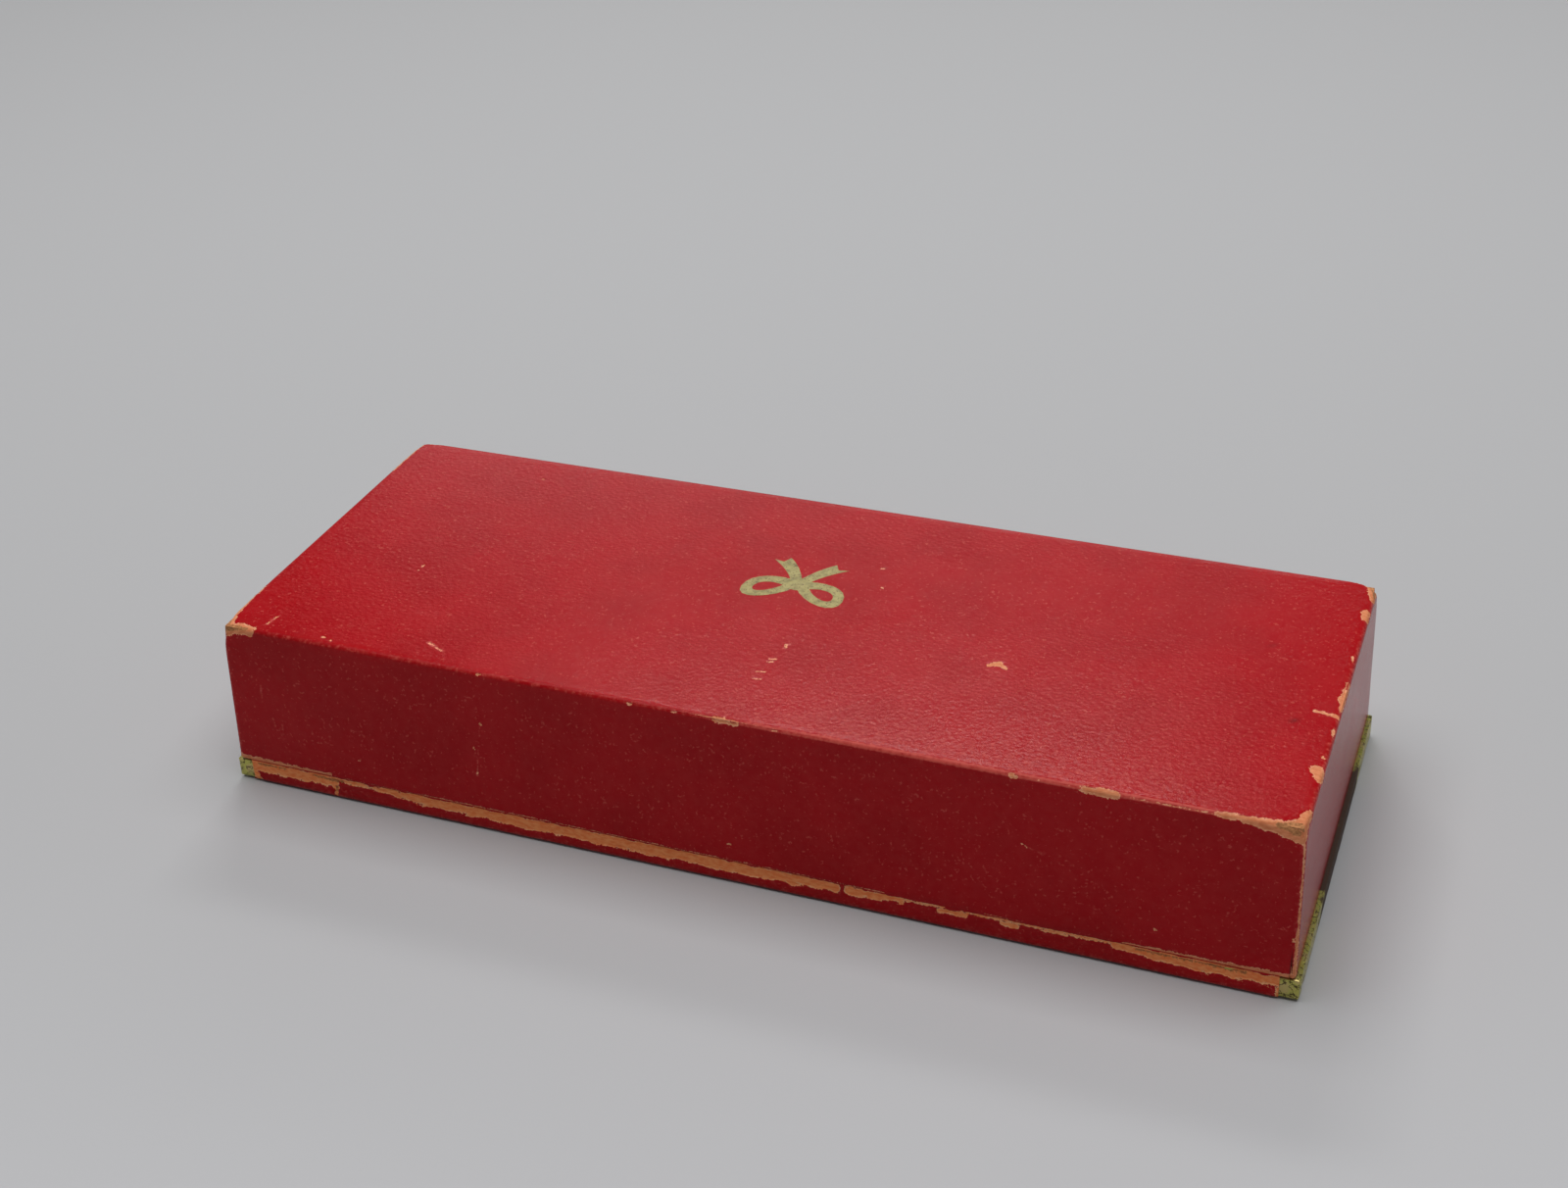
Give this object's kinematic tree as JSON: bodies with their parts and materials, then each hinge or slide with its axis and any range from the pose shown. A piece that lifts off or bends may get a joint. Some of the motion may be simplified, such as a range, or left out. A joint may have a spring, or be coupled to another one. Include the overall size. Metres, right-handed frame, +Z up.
{
  "type": "jewelry gift box",
  "caption": "Long hinged presentation box for a bracelet, watch or necklace: paper-covered lid over a foil-edged base with a velvet bed, saddle and retaining bands.",
  "frame": {"origin": "middle of the underside, on the table", "axes": "+Z up, +X along the box's length towards the right end as seen from the front, -Y towards the front, where the lid opens; the hinge runs along X on the +Y side"},
  "size_m": [0.2016, 0.0796, 0.0344],
  "materials": {
    "cover_paper": "satin",
    "hinge_tape": "matte",
    "foil_paper": "gloss",
    "stamp_foil": "gloss",
    "greyboard": "matte",
    "under_paper": "matte",
    "stay_tape": "matte",
    "lining_satin": "satin",
    "wadding": "matte",
    "foam": "matte",
    "velvet": "matte",
    "band_cloth": "matte"
  },
  "bodies": {
    "base": {"under_paper": "under_paper", "base_board": "greyboard", "base_foil_wrap": "foil_paper", "hinge_strip": "cover_paper", "inner_hinge_tape": "hinge_tape", "collar_front_board": "greyboard", "collar_back_board": "greyboard", "collar_left_board": "greyboard", "collar_right_board": "greyboard", "collar_foil_wrap": "foil_paper", "bed_card": "greyboard", "bed_foam": "foam", "bed_velvet": "velvet", "saddle_core": "foam", "saddle_velvet": "velvet", "band_left": "band_cloth", "band_right": "band_cloth"},
    "lid": {"lid_top_board": "greyboard", "lid_front_board": "greyboard", "lid_back_board": "greyboard", "lid_left_board": "greyboard", "lid_right_board": "greyboard", "lid_cover_paper": "cover_paper", "lid_front_lining": "lining_satin", "lid_back_lining": "lining_satin", "lid_left_lining": "lining_satin", "lid_right_lining": "lining_satin", "corner_stay_front_left": "stay_tape", "corner_stay_front_right": "stay_tape", "corner_stay_back_left": "stay_tape", "corner_stay_back_right": "stay_tape", "lid_pad_card": "greyboard", "lid_pad_wadding": "wadding", "lid_pad_satin": "lining_satin", "foil_emblem": "stamp_foil"}
  },
  "joints": [
    {"name": "lid_hinge", "type": "hinge", "parent": "base", "child": "lid", "pos_m": [0, 0.0398, 0.00465], "axis": [-1, 0, 0], "range_deg": [0, 100]}
  ]
}
